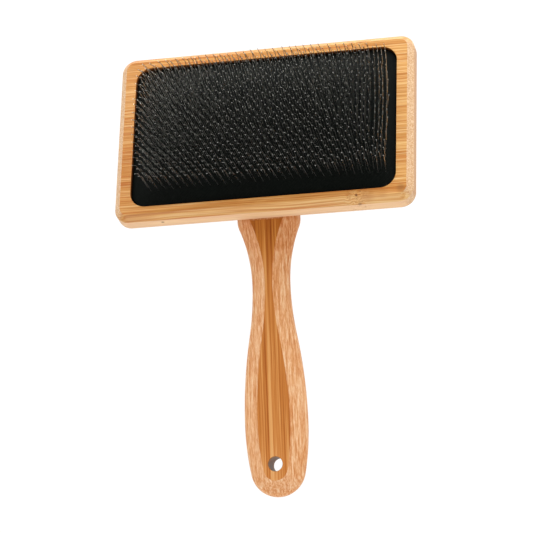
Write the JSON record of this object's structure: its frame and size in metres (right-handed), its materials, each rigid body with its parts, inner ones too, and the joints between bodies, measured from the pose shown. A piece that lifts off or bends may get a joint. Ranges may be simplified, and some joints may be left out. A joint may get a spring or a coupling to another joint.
{
  "type": "slicker brush",
  "caption": "Pet slicker brush: bamboo head with a domed rubber pad of long kneed wire pins, on a tilted bamboo handle with a hang hole.",
  "frame": {"origin": "centre of the head's flat back face", "axes": "+X across the head, handle leaves towards -Y and tilts back, +Z out of the head's face the way the pins stand"},
  "size_m": [0.168, 0.2465, 0.0911],
  "materials": {
    "bamboo_head": "satin lacquered bamboo, grain across the head",
    "bamboo_handle": "satin lacquered bamboo, grain along the handle",
    "screw_steel": "zinc plated",
    "foam": "soft open foam",
    "cloth": "woven backing cloth",
    "rubber": "matt black rubber sheet",
    "pin_steel": "drawn wire, bright cut tips"
  },
  "bodies": {
    "head": {"head_block": "bamboo_head", "handle": "bamboo_handle", "handle_screws": "screw_steel"},
    "pad": {"foam_cushion": "foam", "backing_cloth": "cloth", "rubber_face": "rubber", "pin_row_01": "pin_steel", "pin_row_02": "pin_steel", "pin_row_03": "pin_steel", "pin_row_04": "pin_steel", "pin_row_05": "pin_steel", "pin_row_06": "pin_steel", "pin_row_07": "pin_steel", "pin_row_08": "pin_steel", "pin_row_09": "pin_steel", "pin_row_10": "pin_steel", "pin_row_11": "pin_steel", "pin_row_12": "pin_steel", "pin_row_13": "pin_steel", "pin_row_14": "pin_steel", "pin_row_15": "pin_steel", "pin_row_16": "pin_steel", "pin_row_17": "pin_steel", "pin_row_18": "pin_steel", "pin_row_19": "pin_steel", "pin_row_20": "pin_steel", "pin_row_21": "pin_steel", "pin_row_22": "pin_steel", "pin_row_23": "pin_steel", "pin_row_24": "pin_steel", "pin_row_25": "pin_steel", "pin_row_26": "pin_steel", "pin_row_27": "pin_steel", "pin_row_28": "pin_steel", "pin_row_29": "pin_steel", "pin_row_30": "pin_steel", "pin_row_31": "pin_steel"}
  },
  "joints": [
    {"name": "pad_press", "type": "slide", "parent": "head", "child": "pad", "axis": [0, 0, 1], "range_m": [-0.002, 0], "stiffness_N_per_m": 5000, "springref_m": 0.0005, "deforming": ["foam_cushion"]}
  ]
}
